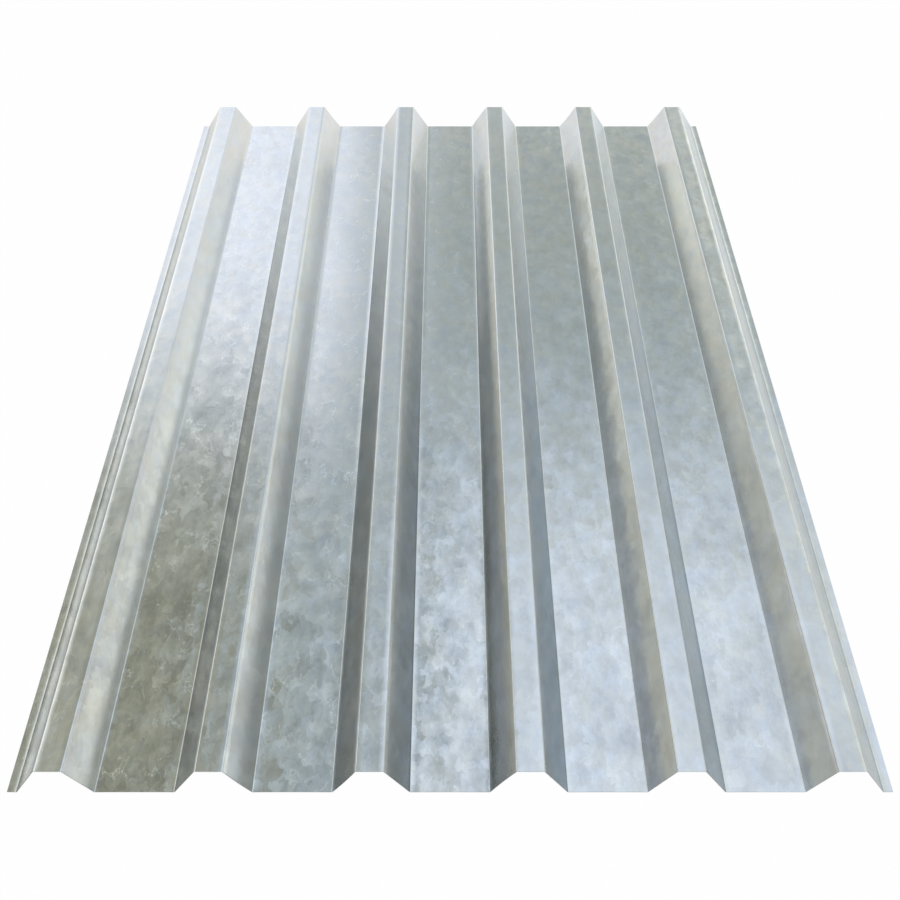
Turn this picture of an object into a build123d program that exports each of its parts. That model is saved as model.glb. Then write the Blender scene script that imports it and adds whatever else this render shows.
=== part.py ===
from build123d import *
import math
import os

# Trapezoidal profiled steel sheet, roll-formed from one coil. X runs across the ribs, Y along
# them and Z up. The origin is under the middle of the sheet, on the plane that the pans rest on.

# Driving dimensions, in millimetres
sheet_length = 1550.0
rib_count = 6
rib_pitch = 183.0
rib_height = 44.0  # pan face to crown face, on the same side of the sheet
crown_width = 32.0  # between the theoretical corners of the crown
web_run = 29.0  # how far one web travels sideways
side_lip = 11.0  # flat strip outside each edge rib
sheet_thickness = 0.8
bend_radius = 2.0  # middle of the sheet's thickness, at every fold

# The folding line, half way through the thickness
pan_level = sheet_thickness / 2
crown_level = pan_level + rib_height
rib_half_foot = crown_width / 2 + web_run
first_rib = -rib_pitch * (rib_count - 1) / 2
last_rib = -first_rib
sheet_half_width = last_rib + rib_half_foot + side_lip


def rib_corners(middle):
    """The four corners of one rib on the folding line, from its left foot to its right foot."""
    return [
        (middle - rib_half_foot, pan_level),
        (middle - crown_width / 2, crown_level),
        (middle + crown_width / 2, crown_level),
        (middle + rib_half_foot, pan_level),
    ]


fold_corners = [(-sheet_half_width, pan_level)]
for rib in range(rib_count):
    fold_corners += rib_corners(first_rib + rib * rib_pitch)
fold_corners.append((sheet_half_width, pan_level))

# The section is the folding line given its thickness, and the sheet is that section run along Y
with BuildPart() as profiled_sheet:
    with BuildSketch(Plane.XZ) as section:
        with BuildLine() as folding_line:
            FilletPolyline(*fold_corners, radius=bend_radius)
        trace(line_width=sheet_thickness)
    extrude(amount=sheet_length / 2, both=True)

profiled_sheet.part.label = "profiled_sheet"

pan_width = rib_pitch - 2 * rib_half_foot
web_length = math.hypot(web_run, rib_height)
print("cover width", rib_pitch * (rib_count - 1), "overall width", 2 * sheet_half_width)
print("pan width", pan_width, "web length", round(web_length, 2))
print("volume", profiled_sheet.part.volume, "box", profiled_sheet.part.bounding_box())

os.makedirs("parts", exist_ok=True)
export_step(profiled_sheet.part, "parts/profiled_sheet.step")
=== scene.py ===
import math
from typing import NamedTuple

import bpy
import numpy as np
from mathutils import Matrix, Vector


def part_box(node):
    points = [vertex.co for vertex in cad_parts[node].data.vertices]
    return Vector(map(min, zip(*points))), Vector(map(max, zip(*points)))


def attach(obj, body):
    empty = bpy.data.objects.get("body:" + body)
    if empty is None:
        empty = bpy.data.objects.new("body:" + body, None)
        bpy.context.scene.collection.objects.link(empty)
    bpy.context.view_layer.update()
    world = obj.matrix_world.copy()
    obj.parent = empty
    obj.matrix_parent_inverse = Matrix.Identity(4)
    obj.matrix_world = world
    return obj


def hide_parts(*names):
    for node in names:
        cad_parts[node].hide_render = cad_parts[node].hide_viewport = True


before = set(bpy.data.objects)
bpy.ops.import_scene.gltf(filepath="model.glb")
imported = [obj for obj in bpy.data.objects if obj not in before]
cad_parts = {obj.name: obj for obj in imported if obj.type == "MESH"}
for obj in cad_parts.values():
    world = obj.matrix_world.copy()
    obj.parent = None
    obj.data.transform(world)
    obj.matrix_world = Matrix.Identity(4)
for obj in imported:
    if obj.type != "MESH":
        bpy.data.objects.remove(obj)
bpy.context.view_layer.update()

# The sheet's section, in metres, as the part is rolled. The frame gives its overall size.
NODE = "profiled_sheet"
SHEET_LOW, SHEET_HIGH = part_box(NODE)
RIB_COUNT = 6
RIB_PITCH = 0.183
CROWN_WIDTH = 0.032
WEB_RUN = 0.029
SHEET_THICKNESS = 0.0008
BEND_RADIUS = 0.002
PAN_LEVEL = SHEET_LOW[2] + SHEET_THICKNESS / 2
CROWN_LEVEL = SHEET_HIGH[2] - SHEET_THICKNESS / 2

# How finely the skin is divided: round a bend, across a flat and along the sheet
BEND_STEPS = 5
FLAT_STEP = 0.006
LEAST_FLAT_STEPS = 2
LENGTH_STEPS = 110
SHARP_EDGE_DEGREES = 50.0


class Flat(NamedTuple):
    """One flat of the section as it comes off the rollers.

    The bows are how far its middle bulges at the near and the far end of the sheet, in metres, and below 0
    it is hollow. The lifts are how far its left and its right edge are raised. The tones scale the colour of
    its zinc at its low and its high edge: painted shade below 1 and painted highlight above 1. Calm is 1
    where the zinc has hardly any spangle and 0 where it has all of it.
    """

    near_bow: float = 0.0
    far_bow: float = 0.0
    left_lift: float = 0.0
    right_lift: float = 0.0
    low_painted_light: float = 1.0
    high_painted_light: float = 1.0
    calm: float = 1.0


LIP_LIFT = 0.0004
NARROW_CALM = 0.6
LEFT_LIP = Flat(left_lift=LIP_LIFT, calm=NARROW_CALM)
RIGHT_LIP = Flat(right_lift=LIP_LIFT, calm=NARROW_CALM)
PAN = Flat(near_bow=0.00025, far_bow=0.00025, calm=0.0)
CROWN = Flat(near_bow=-0.0001, far_bow=-0.0001, calm=NARROW_CALM)
# The webs that face left and the webs that face right, each from the left rib to the right rib. Their tones
# are painted shade and painted highlight for what each web mirrors
LEFT_WEBS = (
    Flat(low_painted_light=0.93, high_painted_light=0.95),
    Flat(),
    Flat(near_bow=-0.0007, far_bow=-0.0007, low_painted_light=0.82, high_painted_light=0.74),
    Flat(near_bow=0.0009, far_bow=0.0009, low_painted_light=0.72, high_painted_light=0.62, calm=0.7),
    Flat(far_bow=-0.0012, low_painted_light=0.85, high_painted_light=0.84, calm=0.45),
    Flat(far_bow=-0.0008, low_painted_light=0.84, high_painted_light=0.82, calm=0.45),
)
RIGHT_WEBS = (
    Flat(low_painted_light=1.25, high_painted_light=0.95),
    Flat(near_bow=-0.0009, far_bow=-0.0009, low_painted_light=1.20, high_painted_light=1.06, calm=0.9),
    Flat(low_painted_light=0.82, high_painted_light=1.08, calm=0.7),
    Flat(low_painted_light=0.93, high_painted_light=0.93),
    Flat(),
    Flat(high_painted_light=0.95),
)
# A bow swells and sinks along the sheet in waves of this length, with slower ones on them. Across the sheet
# the waves are out of step.
BOW_WAVE = 0.31
SLOWER_WAVE = 0.37
OUT_OF_STEP = 9.0
BOW_STEADY = 0.85
BOW_SWING = 0.15


class LinePoint(NamedTuple):
    """A point of the folding line: its place, its upward normal, its bows and its finish, with painted
    highlight and painted shade.

    Bows and finish are those of a bend unless they are given. The whole line is one of these too, with an
    array in each field.
    """

    x: float
    z: float
    normal_x: float
    normal_z: float
    near_bow: float = 0.0
    far_bow: float = 0.0
    # A painted highlight along the bends, with some roller burnish
    burnish_and_highlight: float = 1.0
    # Tone is painted shade and painted highlight on the webs, for what each web mirrors
    tone: float = 1.0
    calm: float = NARROW_CALM


def section_corners():
    """The corners of the folding line, from the left lip to the right lip."""
    half_foot = CROWN_WIDTH / 2 + WEB_RUN
    corners = [(SHEET_LOW[0], PAN_LEVEL)]
    for rib in range(RIB_COUNT):
        middle = (rib - (RIB_COUNT - 1) / 2) * RIB_PITCH
        corners += [
            (middle - half_foot, PAN_LEVEL),
            (middle - CROWN_WIDTH / 2, CROWN_LEVEL),
            (middle + CROWN_WIDTH / 2, CROWN_LEVEL),
            (middle + half_foot, PAN_LEVEL),
        ]
    corners.append((SHEET_HIGH[0], PAN_LEVEL))
    return np.array(corners)


def section_flats():
    """The flats between those corners."""
    flats = [LEFT_LIP]
    for left_web, right_web in zip(LEFT_WEBS, RIGHT_WEBS):
        flats += [left_web, CROWN, right_web, PAN]
    flats[-1] = RIGHT_LIP
    return flats


def section_line():
    """The folding line with its corners rounded, from the left lip to the right lip."""
    corners = section_corners()
    steps = np.diff(corners, axis=0)
    lengths = np.hypot(steps[:, 0], steps[:, 1])
    ways = steps / lengths[:, None]
    angles = np.arctan2(ways[:, 1], ways[:, 0])
    turns = np.diff(angles)
    setbacks = BEND_RADIUS * np.tan(np.abs(turns) / 2)
    starts = np.concatenate([[0.0], setbacks])
    ends = lengths - np.concatenate([setbacks, [0.0]])
    line = []
    for index, flat in enumerate(section_flats()):
        way = ways[index]
        normal = np.array([-way[1], way[0]])
        falls = way[1] < 0.0
        first_painted_light, last_painted_light = (flat.high_painted_light, flat.low_painted_light) if falls else (flat.low_painted_light, flat.high_painted_light)
        length = ends[index] - starts[index]
        for share in np.linspace(0.0, 1.0, max(LEAST_FLAT_STEPS, round(length / FLAT_STEP)) + 1):
            point = corners[index] + way * (starts[index] + share * length)
            point[1] += flat.left_lift * (1.0 - share) + flat.right_lift * share
            # The bulge is 1 in the middle of the flat and 0 at its edges
            bulge = 4.0 * share * (1.0 - share)
            # Flat edges that meet a bend take the bend's painted highlight
            meets_bend = (share == 0.0 and index > 0) or (share == 1.0 and index < len(turns))
            # The web's tone runs from one edge to the other: painted shade below 1, painted highlight above
            # 1
            tone = first_painted_light + (last_painted_light - first_painted_light) * share
            bows = (flat.near_bow * bulge, flat.far_bow * bulge)
            line.append(LinePoint(*point, *normal, *bows, float(meets_bend), tone, flat.calm))
        if index < len(turns):
            side = math.copysign(1.0, turns[index])
            centre = corners[index] + way * ends[index] + side * BEND_RADIUS * normal
            for step in range(1, BEND_STEPS):
                angle = angles[index] + turns[index] * step / BEND_STEPS
                around = np.array([-math.sin(angle), math.cos(angle)])
                # Points round a bend take its painted highlight in full
                line.append(LinePoint(*(centre - side * BEND_RADIUS * around), *around))
    return LinePoint(*np.array(line).T)


def quads(*corners):
    """Four-sided faces, from an array of vertex numbers for each of the four corners."""
    return np.stack(corners, axis=-1).reshape(-1, 4)


def sheet_mesh():
    """The rolled sheet as one closed skin: both faces, the side edges and the cut ends."""
    line = section_line()
    y = np.linspace(SHEET_LOW[1], SHEET_HIGH[1], LENGTH_STEPS + 1)[:, None]
    along = (y - SHEET_LOW[1]) / (SHEET_HIGH[1] - SHEET_LOW[1])
    turn = 2.0 * math.pi * y / BOW_WAVE + OUT_OF_STEP * line.x
    rise = line.near_bow * (1.0 - along) + line.far_bow * along
    rise *= BOW_STEADY + BOW_SWING * np.sin(turn) * np.cos(SLOWER_WAVE * turn)
    skins = []
    for half in (SHEET_THICKNESS / 2, -SHEET_THICKNESS / 2):
        x = line.x + (rise + half) * line.normal_x
        z = line.z + (rise + half) * line.normal_z
        skins.append(np.stack(np.broadcast_arrays(x, y, z), axis=-1).reshape(-1, 3))
    vertices = np.concatenate(skins)

    above = np.arange(rise.size).reshape(rise.shape)
    below = above + rise.size
    top = quads(above[:-1, :-1], above[:-1, 1:], above[1:, 1:], above[1:, :-1])
    bottom = top[:, ::-1] + rise.size
    near = quads(below[0, :-1], below[0, 1:], above[0, 1:], above[0, :-1])
    far = quads(above[-1, :-1], above[-1, 1:], below[-1, 1:], below[-1, :-1])
    left = quads(below[:-1, 0], above[:-1, 0], above[1:, 0], below[1:, 0])
    right = quads(above[:-1, -1], below[:-1, -1], below[1:, -1], above[1:, -1])
    faces = np.concatenate([top, bottom, near, far, left, right])
    mesh = bpy.data.meshes.new("rolled_sheet")
    mesh.from_pydata(vertices.tolist(), [], faces.tolist())
    # The bend attribute carries a painted highlight along the bends, with some roller burnish, and tone
    # carries the webs' painted shade and highlight
    for name, column in (("burnish_and_highlight", line.burnish_and_highlight), ("tone", line.tone), ("calm", line.calm)):
        attribute = mesh.attributes.new(name, "FLOAT", "POINT")
        attribute.data.foreach_set("value", np.tile(column, len(skins) * len(y)))
    mesh.shade_smooth()
    mesh.set_sharp_from_angle(angle=math.radians(SHARP_EDGE_DEGREES))
    mesh.update()
    return mesh


class Nodes:
    """Adds shader nodes to one tree. A node's input takes a number, a colour, or another node's output."""

    def __init__(self, tree):
        self.tree = tree
        tree.nodes.clear()

    def add(self, kind, inputs=(), **settings):
        node = self.tree.nodes.new("ShaderNode" + kind)
        for name, value in settings.items():
            setattr(node, name, value)
        for name, value in dict(inputs).items():
            if isinstance(value, bpy.types.NodeSocket):
                self.tree.links.new(value, node.inputs[name])
            else:
                node.inputs[name].default_value = value
        return node

    def attribute(self, name):
        return self.add("Attribute", attribute_name=name).outputs["Fac"]

    def math(self, operation, *values):
        return self.add("Math", dict(enumerate(values)), operation=operation).outputs[0]

    def product(self, first, *others):
        for other in others:
            first = self.math("MULTIPLY", first, other)
        return first

    def vector(self, operation, *values):
        return self.add("VectorMath", dict(enumerate(values)), operation=operation).outputs[0]

    def scale(self, vector, factor):
        return self.add("VectorMath", {0: vector, "Scale": factor}, operation="SCALE").outputs[0]

    def ramp(self, value, low, high, to_low=0.0, to_high=1.0):
        """A smooth step from to_low to to_high as the value goes from low to high."""
        inputs = {"Value": value, "From Min": low, "From Max": high, "To Min": to_low, "To Max": to_high}
        return self.add("MapRange", inputs, interpolation_type="SMOOTHSTEP").outputs["Result"]

    def mix(self, factor, first, second, blend="MIX"):
        """A mix of two colours, which are the node's inputs 6 and 7 and its output 2."""
        node = self.add("Mix", {0: factor, 6: first, 7: second}, data_type="RGBA", blend_type=blend)
        return node.outputs[2]

    def mix_number(self, factor, first, second):
        """A mix of two numbers, which are the node's inputs 2 and 3 and its output 0."""
        return self.add("Mix", {0: factor, 2: first, 3: second}, data_type="FLOAT").outputs[0]

    def noise(self, place, scale, detail=1.0, roughness=0.5):
        inputs = {"Vector": place, "Scale": scale, "Detail": detail, "Roughness": roughness}
        return self.add("TexNoise", inputs)

    def voronoi(self, place, scale, feature):
        return self.add("TexVoronoi", {"Vector": place, "Scale": scale}, feature=feature)


# The zinc's colours
ZINC_DARK = (0.56, 0.56, 0.575, 1.0)
ZINC_LIGHT = (0.88, 0.875, 0.89, 1.0)
WARM_TINT = (1.0, 0.985, 0.91, 1.0)
COOL_TINT = (0.945, 0.98, 1.0, 1.0)
# Bends are lightened towards this colour by this share: a painted highlight along the bends, with some
# roller burnish
BURNISH_AND_HIGHLIGHT = (0.86, 0.86, 0.87, 1.0)
BURNISH_AND_HIGHLIGHT_SHARE = 0.25

# The spangle's sizes, as noise scales for each metre. It is drawn out along the rolling.
ROLLED_SCALE = (1.0, 0.62, 1.0)
CLOUD_SCALE = 44.0
CLOUD_DETAIL = 3.5
CLOUD_ROUGHNESS = 0.62
PATCH_SCALE = 11.0
CRYSTAL_SCALE = 72.0
SWIRL = (0.04, 0.04, 0.04)
HAIR_SCALE = 44.0
HAIR_BREAK_SCALE = 40.0

# How much clouds, patches, crystals and hairlines count. The noises lie about a half.
HALF = 0.5
HALF_VECTOR = (HALF, HALF, HALF)
CLOUD_TONE = 1.2
PATCH_TONE = 0.65
HAIR_TONE = 0.45
CRYSTAL_HUE = 0.35
CLOUD_LEAN = 0.08
CRYSTAL_LEAN = 0.024
HAIR_ROUGHNESS = 0.08
CALM_ROUGHNESS = 0.05
CALM_TAKES_CONTRAST = 0.6
CALM_TAKES_LEAN = 0.75

# Ramps: from one value to another, and what the ramp gives at each. Those named along run to the far end and
# those named across run to the right, in metres from the sheet's middle. The one from the corner runs away
# from the near left corner, where the slant weighs Y against X.
CORNER_SLANT = 0.5
CONTRAST_ALONG = (-0.7, 0.5, 1.3, 0.55)
CONTRAST_FROM_CORNER = (-0.75, -0.3, 1.5, 1.0)
LEAN_ALONG = (-0.6, 0.1, 1.0, 0.55)
# The webs' painted shade and highlight fade out towards the far end
EVEN_PAINTED_LIGHT_ALONG = (-0.1, 0.6, 0.0, 0.75)
HAIR_ACROSS = (-0.2, 0.15, 1.0, 0.3)
CRYSTAL_TONE_ACROSS = (-0.25, 0.05, 0.30, 0.20)
HAIR_BY_EDGE = (0.006, 0.030, 1.0, 0.0)
HAIR_BY_BREAK = (0.48, 0.60)
HUE_BY_CLOUD = (0.3, 0.7, 0.0, 0.65)
ROUGHNESS_BY_CLOUD = (0.3, 0.7, 0.17, 0.12)


def galvanised_material():
    """Hot-dip zinc: cloudy spangle that leans this way and that, with pale hairlines, calmer on the webs,
    with a painted highlight on the bends and painted shade and highlight on the webs.
    """
    material = bpy.data.materials.new("galvanised_steel")
    material.use_nodes = True
    n = Nodes(material.node_tree)
    place = n.add("TexCoord").outputs["Object"]
    where = n.add("SeparateXYZ", {0: place}).outputs
    rolled = n.vector("MULTIPLY", place, ROLLED_SCALE)
    calm = n.attribute("calm")

    # Soft clouds: three unlike noises in one, for tone, hue and roughness
    clouds = n.noise(rolled, CLOUD_SCALE, CLOUD_DETAIL, CLOUD_ROUGHNESS).outputs["Color"]
    cloud = n.add("SeparateColor", {"Color": clouds}).outputs
    cloud_way = n.vector("SUBTRACT", clouds, HALF_VECTOR)
    patch = n.noise(rolled, PATCH_SCALE).outputs["Fac"]

    # Crystals, with edges drawn out of line by the clouds
    swirl = n.vector("MULTIPLY_ADD", cloud_way, SWIRL, rolled)
    crystals = n.voronoi(swirl, CRYSTAL_SCALE, "F1").outputs["Color"]
    crystal = n.add("SeparateColor", {"Color": crystals}).outputs
    crystal_way = n.vector("SUBTRACT", crystals, HALF_VECTOR)

    # Pale hairlines, broken into short pieces, and fewer on the right
    edge = n.voronoi(swirl, HAIR_SCALE, "DISTANCE_TO_EDGE").outputs["Distance"]
    broken = n.noise(rolled, HAIR_BREAK_SCALE).outputs["Fac"]
    hair = n.product(
        n.ramp(edge, *HAIR_BY_EDGE),
        n.ramp(broken, *HAIR_BY_BREAK),
        n.ramp(where["X"], *HAIR_ACROSS),
        n.math("SUBTRACT", 1.0, calm),
    )

    # Tone from dark to light zinc, with the most contrast near the left corner of the near end
    corner = n.math("MULTIPLY_ADD", where["Y"], CORNER_SLANT, where["X"])
    contrast = n.product(
        n.ramp(where["Y"], *CONTRAST_ALONG),
        n.ramp(corner, *CONTRAST_FROM_CORNER),
        n.math("MULTIPLY_ADD", calm, -CALM_TAKES_CONTRAST, 1.0),
    )
    crystal_tone = n.ramp(where["X"], *CRYSTAL_TONE_ACROSS)
    tone = n.math("MULTIPLY_ADD", cloud["Red"], CLOUD_TONE, -HALF * (CLOUD_TONE + PATCH_TONE))
    tone = n.math("MULTIPLY_ADD", n.math("SUBTRACT", crystal["Red"], HALF), crystal_tone, tone)
    tone = n.math("MULTIPLY_ADD", patch, PATCH_TONE, tone)
    tone = n.math("MULTIPLY_ADD", tone, contrast, HALF)
    tone = n.math("MULTIPLY_ADD", hair, HAIR_TONE, tone)
    tone = n.add("Clamp", {"Value": tone}).outputs[0]

    # Colour, with a painted highlight on the bends, partly roller burnish, and with the webs' painted shade
    # and highlight, which even out to the far end
    hue = n.math("MULTIPLY_ADD", crystal["Green"], CRYSTAL_HUE, n.ramp(cloud["Green"], *HUE_BY_CLOUD))
    colour = n.mix(tone, ZINC_DARK, ZINC_LIGHT)
    colour = n.mix(1.0, colour, n.mix(hue, COOL_TINT, WARM_TINT), "MULTIPLY")
    # A painted highlight along the bends, with some roller burnish
    colour = n.mix(n.math("MULTIPLY", n.attribute("burnish_and_highlight"), BURNISH_AND_HIGHLIGHT_SHARE), colour, BURNISH_AND_HIGHLIGHT)
    evened = n.ramp(where["Y"], *EVEN_PAINTED_LIGHT_ALONG)
    # Each web's painted shade and highlight scale its colour
    colour = n.scale(colour, n.mix_number(evened, n.attribute("tone"), 1.0))

    # The way that the zinc leans, which breaks up what it mirrors
    lean = n.vector("ADD", n.scale(cloud_way, CLOUD_LEAN), n.scale(crystal_way, CRYSTAL_LEAN))
    leaning = n.math("MULTIPLY_ADD", calm, -CALM_TAKES_LEAN, 1.0)
    lean = n.scale(lean, n.math("MULTIPLY", leaning, n.ramp(where["Y"], *LEAN_ALONG)))
    normal = n.vector("NORMALIZE", n.vector("ADD", lean, n.add("NewGeometry").outputs["Normal"]))
    roughness = n.ramp(cloud["Blue"], *ROUGHNESS_BY_CLOUD)
    roughness = n.math("MULTIPLY_ADD", hair, HAIR_ROUGHNESS, roughness)
    roughness = n.math("MULTIPLY_ADD", calm, CALM_ROUGHNESS, roughness)

    finish = {"Base Color": colour, "Metallic": 1.0, "Roughness": roughness, "Normal": normal}
    shader = n.add("BsdfPrincipled", finish)
    n.add("OutputMaterial", {"Surface": shader.outputs["BSDF"]})
    return material


sheet = bpy.data.objects.new("rolled_sheet", sheet_mesh())
bpy.context.scene.collection.objects.link(sheet)
sheet.data.materials.append(galvanised_material())
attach(sheet, "root")
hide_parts(NODE)

FLOOR_REACH = 30.0
FLOOR_GAP = 0.0005
FLOOR_COLOUR = (0.51, 0.52, 0.52, 1.0)
FLOOR_SEEN_SHARE = 0.99
GLOW_LEFT = (1.0, 0.99, 0.96, 1.0)
GLOW_RIGHT = (0.92, 0.98, 1.02, 1.0)
GLOW_ACROSS = (-0.5, 0.5)
WHITE = (1.0, 1.0, 1.0, 1.0)
# Ramps for how much of the floor glows in the sheet: least by the near left corner, most behind the far end
MIRRORED_FROM_CORNER = (-0.9, 0.1, 0.12, 0.62)
MIRRORED_BACK = (0.70, 0.95, 0.0, 0.40)


def studio_floor():
    """A white floor. It glows white where it is seen or mirrored, and keeps part of the sheet's shadow."""
    level = SHEET_LOW[2] - FLOOR_GAP
    signs = ((-1, -1), (1, -1), (1, 1), (-1, 1))
    mesh = bpy.data.meshes.new("floor")
    mesh.from_pydata([(FLOOR_REACH * x, FLOOR_REACH * y, level) for x, y in signs], [], [(0, 1, 2, 3)])
    floor = bpy.data.objects.new("floor", mesh)
    bpy.context.scene.collection.objects.link(floor)
    material = bpy.data.materials.new("white_floor")
    material.use_nodes = True
    n = Nodes(material.node_tree)
    path = n.add("LightPath").outputs
    spot = n.add("SeparateXYZ", {0: n.add("TexCoord").outputs["Object"]}).outputs
    from_corner = n.ramp(n.math("ADD", spot["X"], spot["Y"]), *MIRRORED_FROM_CORNER)
    mirrored_share = n.math("ADD", from_corner, n.ramp(spot["Y"], *MIRRORED_BACK))
    mirrored = n.math("MAXIMUM", path["Is Glossy Ray"], path["Is Transmission Ray"])
    glow_share = n.math("MULTIPLY", mirrored, mirrored_share)
    glow_share = n.math("MULTIPLY_ADD", path["Is Camera Ray"], FLOOR_SEEN_SHARE, glow_share)
    tint = n.mix(n.ramp(spot["X"], *GLOW_ACROSS), GLOW_LEFT, GLOW_RIGHT)
    glow = n.add("Emission", {"Color": n.mix(path["Is Camera Ray"], tint, WHITE), "Strength": 1.0})
    plain = n.add("BsdfDiffuse", {"Color": FLOOR_COLOUR})
    shown = n.add("MixShader", {0: glow_share, 1: plain.outputs[0], 2: glow.outputs[0]})
    n.add("OutputMaterial", {"Surface": shown.outputs[0]})
    mesh.materials.append(material)


# The studio round the sheet, as soft-edged panels, where a later panel lies over an earlier one.
# Walls: left and right bearing from +Y, clockwise seen from above, and lower and upper height, in degrees.
DOME_COLOUR = (0.47, 0.49, 0.49, 1.0)
WALL_PANELS = [
    ("right_wall", 75.0, 140.0, 3.0, 62.0, (0.62, 0.69, 0.75, 1.0)),
    ("left_wall", -125.0, -75.0, 3.0, 60.0, (0.46, 0.49, 0.46, 1.0)),
    ("rear_left", -180.0, -125.0, 3.0, 45.0, (0.80, 0.84, 0.87, 1.0)),
    ("back_left", -34.0, 0.0, -20.0, 27.0, (1.21, 1.30, 1.38, 1.0)),
    ("back_right", 0.0, 34.0, -20.0, 27.0, (0.98, 1.03, 0.98, 1.0)),
    ("left_flag", -75.0, -34.0, 5.0, 33.0, (0.175, 0.205, 0.195, 1.0)),
    ("slate_flag", 34.0, 75.0, 5.0, 33.0, (0.43, 0.545, 0.65, 1.0)),
]
# Ceiling: left and right, near and far edge, in metres to the side and ahead for each metre of height
CEILING_PANELS = [
    ("rear_window", -0.70, -0.10, -2.6, -0.9, (0.95, 1.00, 1.07, 1.0)),
    ("green_ceiling", -0.80, 0.80, 0.0, 1.95, (0.43, 0.487, 0.47, 1.0)),
    ("blue_rim", -0.24, 0.60, 0.2, 1.30, (0.44, 0.515, 0.55, 1.0)),
    ("left_shelf", -1.22, -0.50, 0.0, 2.7, (0.76, 0.79, 0.80, 1.0)),
    ("left_shade", -1.30, -0.50, 0.0, 1.5, (0.52, 0.54, 0.49, 1.0)),
    ("left_olive", -1.78, -1.13, 0.0, 1.75, (0.29, 0.305, 0.275, 1.0)),
    ("right_shelf", 0.85, 1.25, 0.0, 2.7, (0.84, 0.92, 0.97, 1.0)),
    ("right_box", -0.03, 0.41, 0.1, 1.0, (0.84, 0.94, 1.06, 1.0)),
    ("left_box", -0.84, -0.475, 0.1, 2.1, (1.80, 1.87, 1.82, 1.0)),
    ("window_spill", -0.25, -0.05, 1.15, 2.2, (0.66, 0.73, 0.78, 1.0)),
    ("window", -0.47, -0.15, 1.10, 2.2, (1.08, 1.15, 1.28, 1.0)),
    ("olive_flag", -0.48, -0.215, 0.1, 1.07, (0.335, 0.345, 0.27, 1.0)),
    ("warm_box", 0.465, 0.80, 0.1, 1.25, (1.06, 1.08, 0.96, 1.0)),
    ("cream_box", 0.465, 0.80, 1.25, 2.3, (1.75, 1.78, 1.62, 1.0)),
]
# A panel fades with the fourth power of the way from its middle, or the eighth where its sides are sharp.
# Its edges are where it has half gone.
SOFT_POWER = 4.0
SHARP_POWER = 8.0
HALF_GONE = math.log(2.0)
LOWEST_CEILING = 0.1
# A pale band along the horizon: full up to the first rise in degrees, and gone at the second
HORIZON_COLOUR = (1.0, 0.99, 0.95, 1.0)
HORIZON_BY_RISE = (4.0, 8.0, 1.0, 0.0)


def hang_panels(n, colour, spot, panels, sharp_sides):
    """Lays soft-edged panels over a colour, where spot says which point of them is seen."""
    side_power = SHARP_POWER if sharp_sides else SOFT_POWER
    for name, left, right, low, high, panel_colour in panels:
        wide = (right - left) / 2 / HALF_GONE ** (1.0 / side_power)
        tall = (high - low) / 2 / HALF_GONE ** (1.0 / SOFT_POWER)
        shift = (-(left + right) / 2 / wide, -(low + high) / 2 / tall, 0.0)
        off = n.vector("MULTIPLY_ADD", spot, (1.0 / wide, 1.0 / tall, 0.0), shift)
        square = n.vector("MULTIPLY", off, off)
        fourth = n.vector("MULTIPLY", square, square)
        weights = (-1.0, -1.0, 0.0)
        if sharp_sides:
            # Sideways, the fourth power is weighed by itself, which makes it the eighth
            weights = n.vector("MULTIPLY_ADD", fourth, (-1.0, 0.0, 0.0), (0.0, -1.0, 0.0))
        fall = n.add("VectorMath", {0: fourth, 1: weights}, operation="DOT_PRODUCT").outputs["Value"]
        colour = n.mix(n.math("EXPONENT", fall), colour, panel_colour)
        colour.node.label = name
    return colour


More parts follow.
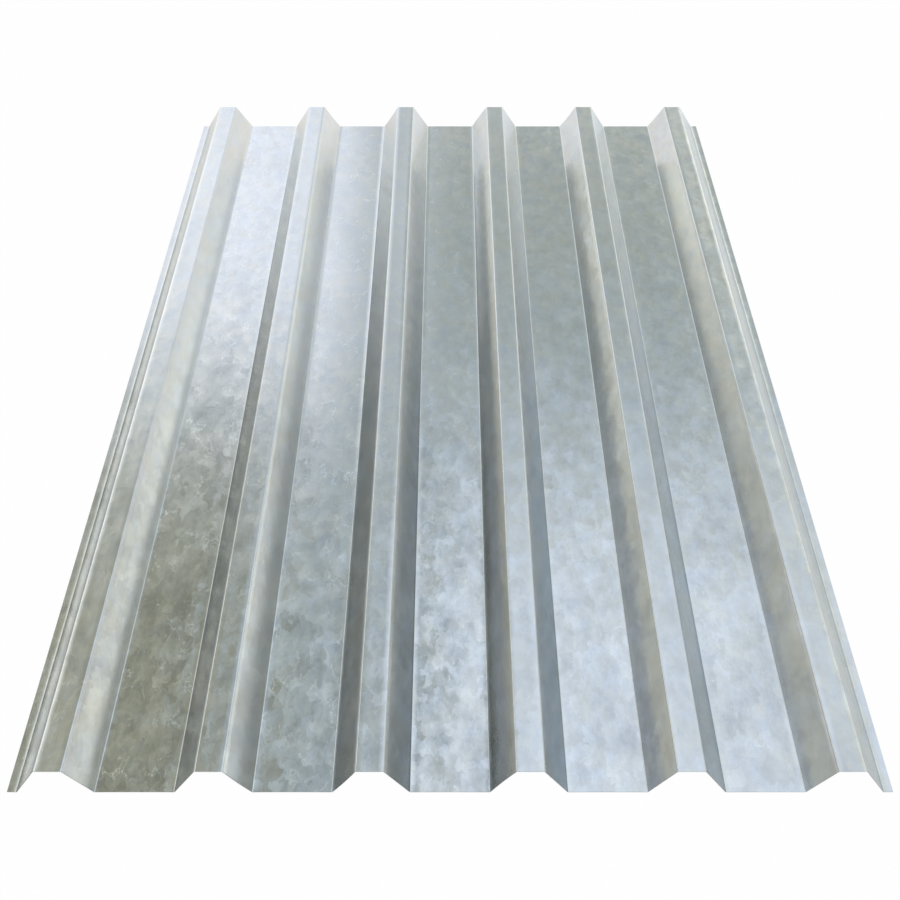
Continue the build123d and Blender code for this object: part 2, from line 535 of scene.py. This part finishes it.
def studio_world():
    """Soft panels on walls and ceiling, and the pale horizon. The camera itself sees plain white."""
    world = bpy.data.worlds.new("studio")
    world.use_nodes = True
    bpy.context.scene.world = world
    # The world isn't sampled as a lamp, since mirrored rays find its large soft panels in less time
    world.cycles.sampling_method = "NONE"
    n = Nodes(world.node_tree)
    way = n.add("SeparateXYZ", {0: n.add("TexCoord").outputs["Generated"]}).outputs
    bearing = n.math("DEGREES", n.math("ARCTAN2", way["X"], way["Y"]))
    rise = n.math("DEGREES", n.math("ARCSINE", way["Z"]))
    wall = n.add("CombineXYZ", {"X": bearing, "Y": rise}).outputs[0]
    up = n.math("MAXIMUM", way["Z"], LOWEST_CEILING)
    sideways = n.math("DIVIDE", way["X"], up)
    ahead = n.math("DIVIDE", way["Y"], up)
    ceiling = n.add("CombineXYZ", {"X": sideways, "Y": ahead}).outputs[0]
    colour = hang_panels(n, DOME_COLOUR, wall, WALL_PANELS, sharp_sides=False)
    colour = hang_panels(n, colour, ceiling, CEILING_PANELS, sharp_sides=True)
    colour = n.mix(n.ramp(rise, *HORIZON_BY_RISE), colour, HORIZON_COLOUR)
    colour = n.mix(n.add("LightPath").outputs["Is Camera Ray"], colour, WHITE)
    background = n.add("Background", {"Color": colour, "Strength": 1.0})
    n.add("OutputWorld", {"Surface": background.outputs[0]})


# The photograph's camera, over the middle line behind the near end
IMAGE_PIXELS = 900
FOCAL_PIXELS = 1203.5
SENSOR_WIDTH_MM = 36.0
CAMERA_BEHIND_NEAR_END = 0.7331
CAMERA_ABOVE_PANS = 1.2510
CAMERA_DOWN_DEGREES = 43.77


def photo_camera():
    """A camera where the photograph was taken from, and the plain way of showing its picture."""
    camera_data = bpy.data.cameras.new("photo_camera")
    camera_data.sensor_fit = "HORIZONTAL"
    camera_data.sensor_width = SENSOR_WIDTH_MM
    camera_data.lens = FOCAL_PIXELS / IMAGE_PIXELS * SENSOR_WIDTH_MM
    camera = bpy.data.objects.new("photo_camera", camera_data)
    height = SHEET_LOW[2] + SHEET_THICKNESS + CAMERA_ABOVE_PANS
    camera.location = (0.0, SHEET_LOW[1] - CAMERA_BEHIND_NEAR_END, height)
    camera.rotation_euler = (math.radians(90.0 - CAMERA_DOWN_DEGREES), 0.0, 0.0)
    scene = bpy.context.scene
    scene.collection.objects.link(camera)
    scene.camera = camera
    scene.view_settings.view_transform = "Standard"


studio_floor()
studio_world()
photo_camera()
